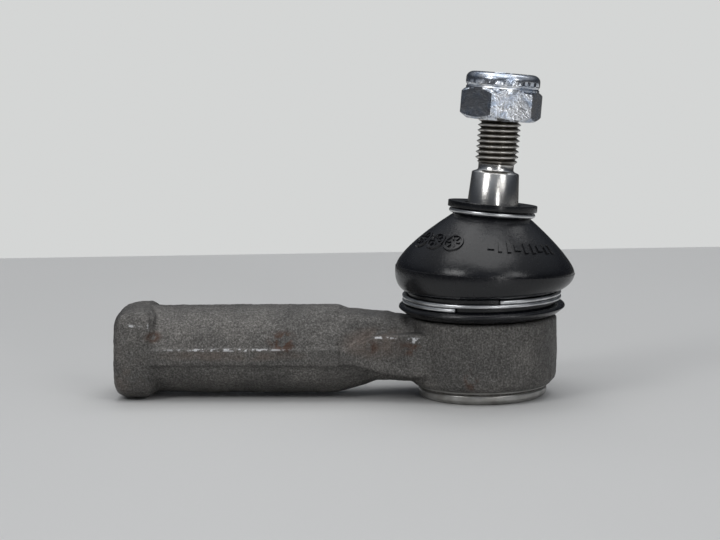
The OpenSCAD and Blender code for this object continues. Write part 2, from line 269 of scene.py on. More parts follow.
# ---------------------------------------------------------------- material helpers
class Nodes:
    """A small helper that adds and links shader nodes."""

    def __init__(self, name, roughness, metallic=0.0):
        self.material = bpy.data.materials.new(name)
        self.material.use_nodes = True
        self.tree = self.material.node_tree
        self.shader = self.tree.nodes["Principled BSDF"]
        self.shader.inputs["Roughness"].default_value = roughness
        self.shader.inputs["Metallic"].default_value = metallic
        self.place = self.add("ShaderNodeTexCoord").outputs["Object"]

    def add(self, kind, **settings):
        node = self.tree.nodes.new(kind)
        for key, value in settings.items():
            setattr(node, key, value)
        return node

    def link(self, source, target):
        self.tree.links.new(source, target)

    def noise(self, scale, detail=4.0, stretch=None, rough=0.55):
        node = self.add("ShaderNodeTexNoise")
        node.inputs["Scale"].default_value = scale
        node.inputs["Detail"].default_value = detail
        node.inputs["Roughness"].default_value = rough
        source = self.place
        if stretch:
            mapping = self.add("ShaderNodeMapping")
            mapping.inputs["Scale"].default_value = stretch
            self.link(source, mapping.inputs["Vector"])
            source = mapping.outputs["Vector"]
        self.link(source, node.inputs["Vector"])
        return node.outputs["Fac"]

    def ramp(self, source, stops):
        node = self.add("ShaderNodeValToRGB")
        ramp = node.color_ramp
        while len(ramp.elements) < len(stops):
            ramp.elements.new(0.5)
        for element, (place, colour) in zip(ramp.elements, stops):
            element.position = place
            element.color = (*colour, 1) if len(colour) == 3 else colour
        self.link(source, node.inputs["Fac"])
        return node.outputs["Color"]

    def math(self, operation, a, b=None, clamp=False):
        node = self.add("ShaderNodeMath", operation=operation, use_clamp=clamp)
        for socket, value in zip(node.inputs, (a, b)):
            if value is None:
                continue
            if isinstance(value, (int, float)):
                socket.default_value = value
            else:
                self.link(value, socket)
        return node.outputs["Value"]

    def spot(self, centre, radius, soft=0.5):
        """1 inside an ellipsoid in the part's millimetres, fading out to 0 at its edge."""
        mapping = self.add("ShaderNodeMapping", vector_type="TEXTURE")
        mapping.inputs["Location"].default_value = [c * MM for c in centre]
        mapping.inputs["Scale"].default_value = [r * MM for r in radius]
        self.link(self.place, mapping.inputs["Vector"])
        length = self.add("ShaderNodeVectorMath", operation="LENGTH")
        self.link(mapping.outputs["Vector"], length.inputs[0])
        ranged = self.add("ShaderNodeMapRange", interpolation_type="SMOOTHSTEP")
        ranged.inputs["From Min"].default_value = 1.0
        ranged.inputs["From Max"].default_value = 1.0 - soft
        self.link(length.outputs["Value"], ranged.inputs["Value"])
        return ranged.outputs["Result"]

    def mix(self, factor, a, b):
        node = self.add("ShaderNodeMix", data_type="RGBA")
        for socket, value in ((node.inputs[0], factor), (node.inputs[6], a), (node.inputs[7], b)):
            if isinstance(value, (int, float)):
                socket.default_value = value
            elif isinstance(value, tuple):
                socket.default_value = (*value, 1)
            else:
                self.link(value, socket)
        return node.outputs[2]

    def bump(self, source, strength, distance, normal=None):
        node = self.add("ShaderNodeBump")
        node.inputs["Strength"].default_value = strength
        node.inputs["Distance"].default_value = distance * MM
        self.link(source, node.inputs["Height"])
        if normal:
            self.link(normal, node.inputs["Normal"])
        return node.outputs["Normal"]

    def finish(self, colour=None, roughness=None, normal=None):
        for name, source in (("Base Color", colour), ("Roughness", roughness), ("Normal", normal)):
            if source is None:
                continue
            if isinstance(source, tuple):
                self.shader.inputs[name].default_value = (*source, 1)
            else:
                self.link(source, self.shader.inputs[name])
        return self.material


def forged_steel():
    """Dark blasted forging: pitted grey with brown trimmed bands, rust patches, bright spots of bare metal
    and painted highlights along some upper edges.
    """
    n = Nodes("forged_steel", 0.5, 0.6)
    grain = n.noise(2300, 5, rough=0.7)
    lumps = n.noise(520, 3)
    cloud = n.noise(90, 3)
    grey = n.ramp(grain, [(0.30, (0.050, 0.048, 0.045)), (0.5, (0.130, 0.126, 0.120)),
                          (0.70, (0.30, 0.293, 0.282))])
    shade = n.ramp(cloud, [(0.3, (0.62, 0.62, 0.62)), (0.7, (1.12, 1.10, 1.08))])
    mixed = n.add("ShaderNodeMix", data_type="RGBA", blend_type="MULTIPLY")
    mixed.inputs[0].default_value = 1.0
    n.link(grey, mixed.inputs[6])
    n.link(shade, mixed.inputs[7])
    colour = mixed.outputs[2]
    # Brown film on the trimmed band, the collar and the sheared web
    film = n.noise(160, 4)
    brown = n.ramp(grain, [(0.3, (0.085, 0.066, 0.055)), (0.7, (0.215, 0.178, 0.155))])
    band = n.spot((28, 0, 0), (38, 14, 2.6), 0.25)
    web = n.spot((62, 0, 2.5), (11, 30, 4.5), 0.5)
    end = n.spot((4, -4, -4), (7, 14, 8), 0.6)
    zones = n.math("MAXIMUM", n.math("MAXIMUM", band, web), end)
    film_mask = n.math("MULTIPLY", zones, n.ramp(film, [(0.42, (0, 0, 0)), (0.6, (1, 1, 1))]))
    colour = n.mix(n.math("MULTIPLY", film_mask, 0.75), colour, brown)
    # Rust patches
    rust_edge = n.ramp(n.noise(420, 5), [(0.45, (0, 0, 0)), (0.55, (1, 1, 1))])
    patches = n.spot((9.3, -8.5, 4.2), (3.0, 3.5, 1.9), 0.6)
    for centre, size in (((84.0, -17, -4.0), (2.2, 4, 4.6)), ((61, -9, 2), (2.6, 4, 2.4)),
                         ((70, -14, 2), (5.5, 5, 2.2)), ((40, -10, 3), (4.5, 6, 3.5))):
        patches = n.math("MAXIMUM", patches, n.spot(centre, size, 0.7))
    rust = n.math("MULTIPLY", patches, rust_edge)
    colour = n.mix(n.math("MULTIPLY", rust, 0.8), colour, (0.085, 0.040, 0.024))
    # Bright spots where the scale is knocked off, and painted highlights: the thin bright strips along the
    # top edges of the collar, the trimmed band and the web
    nick_and_highlight_breakup = n.ramp(n.noise(900, 4), [(0.5, (0, 0, 0)), (0.56, (1, 1, 1))])
    nick_and_highlight_spots = n.spot((70.8, -13.5, 4.0), (2.2, 2.5, 0.9), 0.5)
    for centre, size in (((70.5, -12.4, -6.6), (1.9, 3, 2.0)), ((3.5, -11, 7.0), (5, 1.6, 0.5)),
                         ((8.5, -10.7, 6.5), (0.7, 1.5, 1.8)), ((62, -11, 4.3), (7, 3, 0.35)),
                         ((27, -10.9, 1.35), (19, 1.5, 0.45))):
        nick_and_highlight_spots = n.math("MAXIMUM", nick_and_highlight_spots, n.spot(centre, size, 0.6))
    nick_and_highlight_mask = n.math("MULTIPLY", nick_and_highlight_spots, nick_and_highlight_breakup)
    # Painted highlight: on the thin edge strips this bright colour stands in for light catching those edges
    colour = n.mix(nick_and_highlight_mask, colour, (0.58, 0.58, 0.59))
    # Vertical streaks on the sheared web and the cup's flanks
    streaks = n.noise(1400, 2, stretch=(1.0, 1.0, 0.12))
    streak_zone = n.math("MAXIMUM", web, n.spot((71, -12, -1), (5, 8, 9), 0.5))
    relief = n.math("ADD", n.math("MULTIPLY", lumps, 0.9), n.math("MULTIPLY", grain, 0.7))
    relief = n.math("ADD", relief, n.math("MULTIPLY", n.math("MULTIPLY", streaks, streak_zone), 1.2))
    rough = n.ramp(lumps, [(0.3, (0.62, 0.62, 0.62)), (0.7, (0.33, 0.33, 0.33))])
    return n.finish(colour, rough, n.bump(relief, 1.0, 0.34))


def turned_steel():
    """Machined steel with fine tool rings round the cup's axis."""
    n = Nodes("turned_steel", 0.3, 0.95)
    rings = n.noise(160, 3, stretch=(0.5, 0.5, 45.0))
    blotch = n.noise(220, 4)
    colour = n.ramp(blotch, [(0.3, (0.30, 0.29, 0.27)), (0.6, (0.48, 0.475, 0.46))])
    rough = n.ramp(blotch, [(0.3, (0.42, 0.42, 0.42)), (0.7, (0.27, 0.27, 0.27))])
    return n.finish(colour, rough, n.bump(rings, 0.35, 0.05))


def ground_steel():
    """The stud's ground taper: bright, with fine rings and a little tarnish."""
    n = Nodes("ground_steel", 0.2, 1.0)
    rings = n.noise(140, 3, stretch=(0.4, 0.4, 60.0))
    tarnish = n.noise(260, 5)
    colour = n.ramp(tarnish, [(0.35, (0.55, 0.53, 0.50)), (0.62, (0.80, 0.79, 0.77))])
    rough = n.ramp(tarnish, [(0.3, (0.30, 0.30, 0.30)), (0.7, (0.15, 0.15, 0.15))])
    return n.finish(colour, rough, n.bump(rings, 0.3, 0.04))


def thread_steel():
    """Rolled thread coloured by depth: brown-black towards the roots, with near-white crests as a painted
    highlight.
    """
    n = Nodes("thread_steel", 0.34, 0.9)
    local = n.add("ShaderNodeAttribute", attribute_name="depth").outputs["Fac"]
    # Painted highlight: the crest colour is lightened to stand in for light along the crests; the colour is
    # darker towards the roots
    colour = n.ramp(local, [(0.15, (0.055, 0.047, 0.038)), (0.55, (0.30, 0.28, 0.25)),
                            (0.95, (0.72, 0.70, 0.66))])
    return n.finish(colour, None, n.bump(n.noise(900, 4), 0.2, 0.05))


def zinc():
    """Bright zinc plate with a faint blue cast and a barrel-finished mottle."""
    n = Nodes("zinc", 0.2, 1.0)
    mottle = n.noise(420, 5, rough=0.62)
    fine = n.noise(1500, 3)
    colour = n.ramp(mottle, [(0.34, (0.36, 0.42, 0.52)), (0.6, (0.80, 0.82, 0.85))])
    rough = n.ramp(mottle, [(0.3, (0.30, 0.30, 0.30)), (0.7, (0.15, 0.15, 0.15))])
    dents = n.bump(mottle, 0.45, 0.22)
    return n.finish(colour, rough, n.bump(fine, 0.12, 0.03, dents))


def wire_steel():
    """Drawn spring wire."""
    n = Nodes("wire_steel", 0.3, 1.0)
    stain = n.noise(300, 4)
    colour = n.ramp(stain, [(0.3, (0.46, 0.47, 0.48)), (0.65, (0.72, 0.73, 0.74))])
    return n.finish(colour, None, n.bump(n.noise(1100, 2), 0.15, 0.03))


def boot_rubber():
    """Satin black moulded rubber with a faint bloom."""
    n = Nodes("boot_rubber", 0.4)
    bloom = n.noise(70, 4)
    speck = n.noise(1300, 4, rough=0.7)
    colour = n.ramp(bloom, [(0.3, (0.0035, 0.0037, 0.0048)), (0.72, (0.0070, 0.0075, 0.0098))])
    rough = n.ramp(speck, [(0.3, (0.17, 0.17, 0.17)), (0.7, (0.30, 0.30, 0.30))])
    relief = n.math("ADD", speck, n.math("MULTIPLY", n.noise(260, 3), 1.5))
    n.shader.inputs["Specular IOR Level"].default_value = 0.45
    return n.finish(colour, rough, n.bump(relief, 0.30, 0.14))


def moulded(name, dark, light):
    """Off-white moulded plastic."""
    n = Nodes(name, 0.45)
    colour = n.ramp(n.noise(180, 3), [(0.3, dark), (0.7, light)])
    return n.finish(colour, None, n.bump(n.noise(900, 2), 0.1, 0.04))


# ---------------------------------------------------------------- housing
def loft_box(bm, sections, power=6.0, sides=48, hole=0.0):
    """Superellipse sections along X: rows of x, centre y, centre z, half width and half height."""
    rings = []
    for x, y, z, half_y, half_z in sections:
        ring = []
        for k in range(sides):
            c, s = math.cos(TURN * k / sides), math.sin(TURN * k / sides)
            grow = (abs(c) ** power + abs(s) ** power) ** (-1 / power)
            ring.append(Vector((x, y + half_y * c * grow, z + half_z * s * grow)))
        rings.append(ring)
    if hole:
        for x in (sections[-1][0], sections[0][0]):
            rings.append([Vector((x, hole * math.cos(TURN * k / sides), hole * math.sin(TURN * k / sides)))
                          for k in range(sides)])
    skin(bm, rings, closed=bool(hole))


def along_x(p):
    """Turns a revolved solid's axis onto +X."""
    return Vector((p[2], p[0], p[1]))


def forging_shells(bm):
    """Overlapping closed shells of the forging: shank, collar, bands, neck, web and cup."""
    hole = ROD_MAJOR_R + BORE_CLEAR
    start, inside_cup = 5.5, 66
    shank = [(hole, start), (SHANK_R - 0.2, start), (SHANK_R - 0.1, COLLAR_LEN), (SHANK_R, 20),
             (SHANK_R, SHANK_LEN - 2), (SHANK_R - 0.8, SHANK_LEN + 0.5), (8.6, SHANK_LEN + 4.5),
             (7.3, SHANK_LEN + 8), (6.8, inside_cup), (0.05, inside_cup), (0.05, ROD_DEPTH + 6),
             (hole, ROD_DEPTH + 0.5)]
    revolve(bm, shank, along_x, 96)
    # Squared collar: a bevel across the top of its end, and a rounded lower edge
    w = SHANK_R + 0.45
    loft_box(bm, [(0.15, 0, -0.50, w - 1.3, 8.50), (0.8, 0, -0.43, w - 0.5, 9.43),
                  (1.8, 0, -0.25, w - 0.1, 10.15), (3.0, 0, -0.22, w, 10.53), (4.9, 0, -0.03, w, w - 0.1),
                  (COLLAR_LEN - 1.4, 0, 0, w, w - 0.05), (COLLAR_LEN - 0.3, 0, 0, w - 0.3, w - 0.5),
                  (COLLAR_LEN + 1.2, 0, 0, w - 1.5, w - 1.6)], 4.4, 64, hole)
    # Trimmed bands along both sides of the shank
    for side in (-1, 1):
        y = side * (SHANK_R - 0.68)
        loft_box(bm, [(COLLAR_LEN - 2, y, -0.5, 1.1, 2.1), (14, y, -0.5, 1.12, 2.05),
                      (26, y, -0.4, 1.15, 2.0), (38, y, -0.5, 1.1, 2.1),
                      (SHANK_LEN - 1, y, -0.5, 1.15, 2.1)], 12.0, 32)
    # Neck, a little above the shank's axis
    loft_box(bm, [(52, 0, 0, 8.0, 9.3), (57, 0, 0.4, 7.6, 8.8), (60, 0, 0.8, 7.3, 8.0),
                  (63.5, 0, 0.8, 7.4, 7.9), (65.5, 0, 0.45, 7.6, 7.6), (69, 0, 0.2, 8.5, 7.4),
                  (72.5, 0, -0.1, 9.5, 7.1)], 3.6, 64)
    # Sheared webs on both sides, which rise from the trimmed bands and run on into the cup
    for side in (-1, 1):
        rows = [(46, 8.6, -0.5, 1.75, 1.7), (55, 8.6, -0.5, 1.8, 1.9), (59, 8.7, 0.2, 1.9, 3.3),
                (63.5, 9.2, 0.2, 2.2, 4.6), (70, 10.9, 0.3, 2.2, 5.1), (77, 11.2, 0.3, 1.9, 5.2)]
        loft_box(bm, [(x, side * y, z, hy, hz) for x, y, z, hy, hz in rows], 10.0, 64)
    # Cup with its bore, mouth and spigot
    foot = BASE_Z + FOOT_H - BALL.z
    shoulder, rim = SHOULDER_Z - BALL.z, RIM_Z - BALL.z
    cup = [(BORE_R, foot - 1.0), (FOOT_R - 0.3, foot - 1.0), (FOOT_R - 0.2, foot - 0.1),
           (CUP_R - 1.6, foot + 0.1), (CUP_R - 0.35, foot + 1.3), (CUP_R - 0.1, foot + 3.4),
           (CUP_R - 0.05, foot + 8), (CUP_R - 0.1, shoulder - 0.8), (CUP_R - 0.7, shoulder - 0.1),
           (SPIGOT_R - 0.1, shoulder - 0.1), (SPIGOT_R - 0.1, rim - 0.4), (SPIGOT_R - 0.5, rim - 0.1),
           (10.8, rim - 0.1), (9.5, 7.4), (10.6, 5.7), (11.6, 3.2), (BORE_R, 0)]
    revolve(bm, cup, in_cup, 160)


def roughen(mesh):
    """Moves the forging's points in and out as scale and die wear leave them."""
    for vert, normal in zip(mesh.vertices, [n.vector.copy() for n in mesh.vertex_normals]):
        p = vert.co / MM
        from_cup = math.hypot(p.x - BALL.x, p.y)
        inside = from_cup < BORE_R + 1.2 or (p.x < ROD_DEPTH + 7 and math.hypot(p.y, p.z) < ROD_MAJOR_R + 1)
        machined = p.z > SHOULDER_Z - 0.6 and from_cup < CUP_R + 3
        low_side = p.z < BASE_Z + FOOT_H + 0.3 and from_cup < CUP_R
        if inside or machined or low_side:
            continue
        shift = noise.noise(p * 0.11) * 0.20 + noise.noise(p * 0.42 + Vector((7, 3, 1))) * 0.11
        shift += noise.noise(p * 1.15 + Vector((2, 9, 4))) * 0.085
        shift += abs(noise.noise(p * 0.85 + Vector((5, 5, 5)))) * -0.07
        vert.co += normal * (shift - 0.03) * MM


def make_forging(material):
    """The forging as one skin, remeshed from its shells and roughened."""
    voxel = 0.36
    bm = bmesh.new()
    forging_shells(bm)
    piece = make_object("housing_forging", bm)
    finished(piece, [("REMESH", {"mode": "VOXEL", "voxel_size": voxel * MM, "use_smooth_shade": True}),
                     ("SMOOTH", {"iterations": 2, "factor": 0.5})])
    roughen(piece.data)
    keep_in(piece.data)
    piece.data.materials.append(material)
    return piece


def keep_in(mesh):
    """Holds every point inside the CAD model's box."""
    lows, highs = Vector(cad_box[0]), Vector(cad_box[1])
    for vert in mesh.vertices:
        for axis in range(3):
            vert.co[axis] = min(max(vert.co[axis], lows[axis]), highs[axis])


def make_foot(material):
    """Machined ring at the cup's foot, with the rolled lip over the cover."""
    bm = bmesh.new()
    h = BASE_Z - BALL.z
    top = h + FOOT_H
    cover_top, lip_top, cover_r = h + 1.82, h + 0.62, BORE_R + 1.36
    outline = [(BORE_R + 0.3, h), (FOOT_R - 1.0, h), (FOOT_R, h + 0.9), (FOOT_R, top - 0.9),
               (FOOT_R - 0.35, top - 0.75), (FOOT_R - 0.35, top - 0.45), (FOOT_R + 0.35, top - 0.3),
               (FOOT_R + 0.6, top + 0.3), (FOOT_R - 1, top + 0.6), (BORE_R + 0.02, top + 0.6),
               (BORE_R + 0.02, cover_top), (cover_r, cover_top), (cover_r, lip_top),
               (BORE_R + 0.3, lip_top)]
    revolve(bm, rounded(outline, 0.3, 3), in_cup, 160)
    piece = make_object("housing_foot", bm)
    piece.data.materials.append(material)
    return piece


def thread_form(phase):
    """0 at a thread's root and 1 at its crest, for a phase counted in turns."""
    ridge = 1 - abs(2 * (phase % 1.0) - 1)
    return min(max(ridge * 1.32 - 0.14, 0.0), 1.0)


def make_rod_thread(material):
    """Internal M14 thread in the shank's mouth, as a sleeve inside the forging."""
    bm = bmesh.new()
    depth = INNER_DEPTH * ROD_PITCH
    minor = ROD_MAJOR_R - depth
    sides, step = 72, ROD_PITCH / 10
    rows = int((ROD_DEPTH - 0.2) / step)

    def bore(h, a):
        r = ROD_MAJOR_R - depth * thread_form(h / ROD_PITCH - a / TURN)
        return max(r, minor + max(0.9 - h, 0.0))

    rings = []
    for k in range(sides):
        a = TURN * k / sides
        inner = [(bore(0.2 + i * step, a), 0.2 + i * step) for i in range(rows)]
        line = inner + [(minor, ROD_DEPTH), (ROD_MAJOR_R + 0.7, ROD_DEPTH), (ROD_MAJOR_R + 0.7, 0.2)]
        rings.append([along_x((r * math.cos(a), r * math.sin(a), h)) for r, h in line])
    skin(bm, rings, closed=True)
    piece = make_object("housing_thread", bm, 60)
    piece.data.materials.append(material)
    return piece


def make_cover(material):
    """Dished sheet that closes the cup's foot."""
    bm = bmesh.new()
    h = low("end_cover").z - BALL.z
    r = BORE_R + 1.3
    profile = [(h + 0.4, 0.02), (h + 0.4, 6.5), (h + 0.28, 7.3), (h + 0.05, 8.4), (h, 9.2), (h, r - 0.2),
               (h + 0.15, r), (h + 1.05, r), (h + 1.2, r - 0.2), (h + 1.2, 0.02)]
    stack(bm, profile, in_cup, 96)
    piece = make_object("cover_plate", bm)
    piece.data.materials.append(material)
    return piece


# ---------------------------------------------------------------- stud and nut
def stud_thread(h, a, clearance=0.0):
    """Radius of the stud's right-hand thread at a height and an angle."""
    depth = OUTER_DEPTH * THREAD_PITCH
    form = thread_form((h - THREAD_H) / THREAD_PITCH - a / TURN)
    return THREAD_R - depth + depth * form + clearance


def make_stud(body_material, thread_material):
    end_h = THREAD_H + THREAD_LEN
    root = THREAD_R - OUTER_DEPTH * THREAD_PITCH
    profile = []
    flat_share = 0.94  # where the ball's flat lies, as a share of its radius
    flat = math.acos(flat_share)
    meet = math.pi - math.asin(STUD_NECK_R / BALL_R)
    for i in range(41):
        a = flat + (meet - flat) * i / 40
        profile.append((-BALL_R * math.cos(a), BALL_R * math.sin(a)))
    profile.insert(0, (-BALL_R * flat_share, 0.02))
    foot = profile[-1][0]
    profile += [(foot + 0.5, STUD_NECK_R + 0.02), (foot + 1.2, STUD_NECK_R), (TAPER_LOW - 4, STUD_NECK_R),
                (TAPER_LOW - 1, TAPER_R - 0.25), (TAPER_LOW, TAPER_R),
                (TAPER_TOP - 0.25, TAPER_END_R + 0.01), (TAPER_TOP, TAPER_END_R - 0.18),
                (TAPER_TOP + 0.35, UNDERCUT_R + 0.25),
                (TAPER_TOP + 0.65, UNDERCUT_R), (THREAD_H - 0.35, UNDERCUT_R), (THREAD_H - 0.1, UNDERCUT_R)]
    step = THREAD_PITCH / 12
    for i in range(int(THREAD_LEN / step)):
        h = THREAD_H + i * step

        def radius(a, h=h):
            chamfer_low = UNDERCUT_R + max(h - THREAD_H, 0) * 1.0
            chamfer_top = root - 0.35 + (end_h - h) * 1.0
            return min(stud_thread(h, a), chamfer_low, chamfer_top)

        profile.append((h, radius))
    profile += [(end_h, root - 0.35), (end_h + 0.3, root - 0.6), (end_h + 0.6, root - 1.1),
                (end_h + 0.6, 0.02)]
    bm = bmesh.new()
    stack(bm, profile, turned, 96)
    piece = make_object("stud", bm, 50)
    piece.data.materials.append(body_material)
    piece.data.materials.append(thread_material)
    mark_thread(piece, root)
    return piece


def mark_thread(piece, root):
    """Gives the thread's faces their own slot and stores how near each point is to the crest."""
    mesh = piece.data
    depth = mesh.attributes.new("depth", "FLOAT", "POINT")
    for vert, value in zip(mesh.vertices, depth.data):
        local = vert.co / MM - BALL
        h = local.dot(SPIN)
        value.value = ((local - SPIN * h).length - root) / (THREAD_R - root)
    for face in mesh.polygons:
        h = (face.center / MM - BALL).dot(SPIN)
        face.material_index = 1 if h > THREAD_H - 0.2 else 0


def make_nut(material):
    """Hexagon with chamfered corners and a rolled cap, cut and joined by booleans."""
    top = NUT_RISE + HEX_H
    hexagon = bmesh.new()
    corners = [Vector((HEX_CORNER_R * math.cos(NUT_TURN + TURN * k / 6),
                       HEX_CORNER_R * math.sin(NUT_TURN + TURN * k / 6), 0)) for k in range(6)]
    skin(hexagon, [[turned((c.x, c.y, h)) for c in corners] for h in (NUT_RISE, top)])
    piece = make_object("nut_body", hexagon)
    envelope = bmesh.new()
    stack(envelope, [(NUT_RISE - 0.01, HEX_FLAT_R - 0.75), (NUT_RISE + 1.35, HEX_CORNER_R + 0.1),
                     (top - 1.35, HEX_CORNER_R + 0.1), (top + 0.01, HEX_FLAT_R - 0.75)], turned, 144)
    envelope = make_object("nut_envelope", envelope)
    cap = bmesh.new()
    cap_profile = [(top - 1.2, CAP_R - 0.1), (top - 0.1, CAP_R - 0.1), (top + 0.25, CAP_R - 0.35),
                   (top + 0.6, CAP_R - 0.1), (top + 0.9, CAP_R), (top + CAP_H * 0.55, CAP_R)]
    for i in range(1, 9):
        a = math.pi / 2 * i / 8
        cap_profile.append((top + CAP_H * (0.55 + 0.45 * math.sin(a)), CAP_R - 1.9 * (1 - math.cos(a))))
    stack(cap, cap_profile, turned, 144)
    cap = make_object("nut_cap", cap)
    bore = bmesh.new()
    r = THREAD_R + 0.35
    stack(bore, [(NUT_RISE - 0.3, r + 0.95), (NUT_RISE + 0.65, r), (top, r), (top + 0.01, CAP_R - 1.1),
                 (top + CAP_H - 0.8, CAP_R - 1.1), (top + CAP_H - 0.79, CAP_R - 2.1),
                 (top + CAP_H + 1, CAP_R - 2.1)], turned, 96)
    bore = make_object("nut_bore", bore)
    finished(piece, [("BOOLEAN", {"operation": "INTERSECT", "object": envelope, "solver": "EXACT"}),
                     ("BOOLEAN", {"operation": "UNION", "object": cap, "solver": "EXACT"}),
                     ("BOOLEAN", {"operation": "DIFFERENCE", "object": bore, "solver": "EXACT"}),
                     ("BEVEL", {"width": 0.22 * MM, "segments": 3, "limit_method": "ANGLE",
                                "angle_limit": math.radians(18), "harden_normals": False})])
    for tool in (envelope, cap, bore):
        remove(tool)
    flat_area = 12 * MM * MM  # the hexagon's sides are larger and stay flat
    for face in piece.data.polygons:
        face.use_smooth = face.area < flat_area
    piece.data.materials.clear()
    piece.data.materials.append(material)
    return piece


def make_nut_thread(material):
    """Helical thread inside the hexagon, in mesh with the stud's thread."""
    bm = bmesh.new()
    outer, gap = THREAD_R + 0.4, 0.07
    sides, step = 72, THREAD_PITCH / 10
    rows = int((HEX_H - 0.4) / step)
    rings = []
    for k in range(sides):
        a = TURN * k / sides
        inner = []
        for i in range(rows):
            h = NUT_RISE + 0.3 + i * step
            r = max(stud_thread(h, a, gap), THREAD_R - 0.52)
            inner.append((min(max(r, THREAD_R + 0.3 - (h - NUT_RISE)), outer - 0.02), h))
        line = inner + [(outer, inner[-1][1]), (outer, NUT_RISE + 0.3)]
        rings.append([turned((r * math.cos(a), r * math.sin(a), h)) for r, h in line])
    skin(bm, rings, closed=True)
    piece = make_object("nut_thread", bm, 60)
    piece.data.materials.append(material)
    return piece


def make_insert(material):
    """Nylon locking ring inside the nut's cap."""
    bm = bmesh.new()
    h = NUT_RISE + HEX_H + 0.1
    outer, tall = CAP_R - 1.18, 2.55
    outline = [(THREAD_R + 0.06, h), (outer, h), (outer, h + tall), (THREAD_R + 0.9, h + tall),
               (THREAD_R + 0.06, h + 2.2)]
    revolve(bm, rounded(outline, 0.3, 4), turned, 96)
    piece = make_object("nylon_ring", bm)
    piece.data.materials.append(material)
    return piece


# ---------------------------------------------------------------- boot and rings
def shoulder_at(s):
    """Radius and height of the boot's shoulder at a share of the way up it."""
    top, start = BOOT_R - MOULD_STEP, BOOT_MID_H + 0.4
    r = top - (top - NECK_GROOVE_R - 0.4) * s ** SHOULDER_POWER
    return r, start + (SHOULDER_H - start) * s


def boot_outside():
    """Outside of the boot's wall as [radius, height], from the flange up to the lip."""
    out = BOOT_R - (LOWER_R - LOWER_WIRE / 2 - WIRE_CLEAR)
    drop = BOOT_MID_H - GROOVE_TOP
    groove = BOOT_R - out
    points = [(SPIGOT_R + BOOT_GAP, FLANGE_H), (17.4, FLANGE_H), (17.8, FLANGE_H + 0.2),
              (18.7, FLANGE_H + 0.9), (19.3, FLANGE_H + 1.35), (19.45, FLANGE_H + 1.6),
              (19.3, FLANGE_H + 2.0), (18.9, FLANGE_H + FLANGE_T),
              (groove + 0.3, FLANGE_H + FLANGE_T + 0.1),
              (groove, FLANGE_H + FLANGE_T + 0.35), (groove, GROOVE_TOP - 0.2)]
    for i in range(1, 13):
        s = i / 12
        a = math.pi / 2 * s
        points.append((groove + out * math.sin(a), BOOT_MID_H - drop * math.cos(a)))
    # Moulding line: a low ridge where the two halves of the mould meet
    points += [(BOOT_R, BOOT_MID_H + 0.06), (BOOT_R - 0.16, BOOT_MID_H + 0.12),
               (BOOT_R - MOULD_STEP, BOOT_MID_H + 0.4)]
    for i in range(1, 25):
        points.append(shoulder_at(i / 24))
    return points


def boot_inside():
    """Inside of the boot's wall as [radius, height], from the lip down to the flange."""
    rise = SHOULDER_H - BOOT_MID_H
    drop = BOOT_MID_H - GROOVE_TOP
    inner, bore = BOOT_R - BOOT_WALL, TAPER_R + BOOT_GAP
    points = [(bore, BOOT_RISE - 0.3), (bore, SHOULDER_H - 1)]
    for i in range(12, 0, -1):
        s = i / 12
        points.append((inner - (inner - bore) * s ** 1.2, BOOT_MID_H + (rise - BOOT_WALL) * s))
    points += [(inner, BOOT_MID_H), (inner - 0.6, BOOT_MID_H - drop * 0.6),
               (SPIGOT_R + BOOT_GAP, GROOVE_TOP + 0.4)]
    return points


def boot_point(r, h, a):
    """A point of the boot in the part's frame, with the lean that it has at its height."""
    return turned((r * math.cos(a), r * math.sin(a), h), boot_share(h))


def make_boot(material):
    """Hollow bellows boot, with a moulding line and plain raised marks."""
    lip = rounded([(NECK_GROOVE_R, SHOULDER_H + 0.1), (NECK_GROOVE_R, BOOT_RISE - LIP_T),
                   (LIP_R, BOOT_RISE - LIP_T), (LIP_R, BOOT_RISE),
                   (TAPER_R + BOOT_GAP, BOOT_RISE)], 0.22, 3)
    outline = boot_outside() + [tuple(p) for p in lip[4:-4]] + boot_inside()
    sides = 144
    bm = bmesh.new()
    rings = []
    for k in range(sides):
        a = TURN * k / sides
        ring = []
        for r, h in outline:
            ragged = 0.0
            if r > 18.8 and h < FLANGE_H + FLANGE_T:
                ragged = -0.12 * abs(noise.noise(Vector((math.cos(a) * 9, math.sin(a) * 9, h))))
            ring.append(boot_point(r + ragged, h, a))
        rings.append(ring)
    skin(bm, rings, closed=True)
    add_marks(bm)
    piece = make_object("boot", bm, 40)
    piece.data.materials.append(material)
    return piece


def on_boot(a, s, u, v, lift):
    """A point on the boot's shoulder, u along its girth and v up it, raised by lift."""
    r, h = shoulder_at(s)
    r2, h2 = shoulder_at(s + 0.02)
    slope = Vector((r2 - r, h2 - h)).normalized()
    rr = r + slope.x * v + slope.y * lift
    hh = h + slope.y * v - slope.x * lift
    return boot_point(rr, hh, a + u / r)


def raised_ring(bm, a, s, radius):
    """A thin raised circle on the boot's shoulder."""
    steps, width = 28, 0.38
    rings = []
    for k in range(steps):
        c, d = math.cos(TURN * k / steps), math.sin(TURN * k / steps)
        rings.append([on_boot(a, s, c * q, d * q, lift) for q, lift in
                      ((radius - width, -0.2), (radius - width * 0.6, 0.32), (radius + width * 0.6, 0.32),
                       (radius + width, -0.2))])
    skin(bm, rings, closed=True)


def raised_bar(bm, a, s, length, height, angle=0.0):
    """A small raised bar on the boot's shoulder."""
    c, d = math.cos(angle), math.sin(angle)
    rings = []
    for lift, shrink in ((-0.2, 0.0), (0.32, 0.08)):
        box = []
        for x, y in ((-1, -1), (1, -1), (1, 1), (-1, 1)):
            u, v = x * (length / 2 - shrink), y * (height / 2 - shrink)
            box.append(on_boot(a, s, u * c - v * d, u * d + v * c, lift))
        rings.append(box)
    skin(bm, rings)


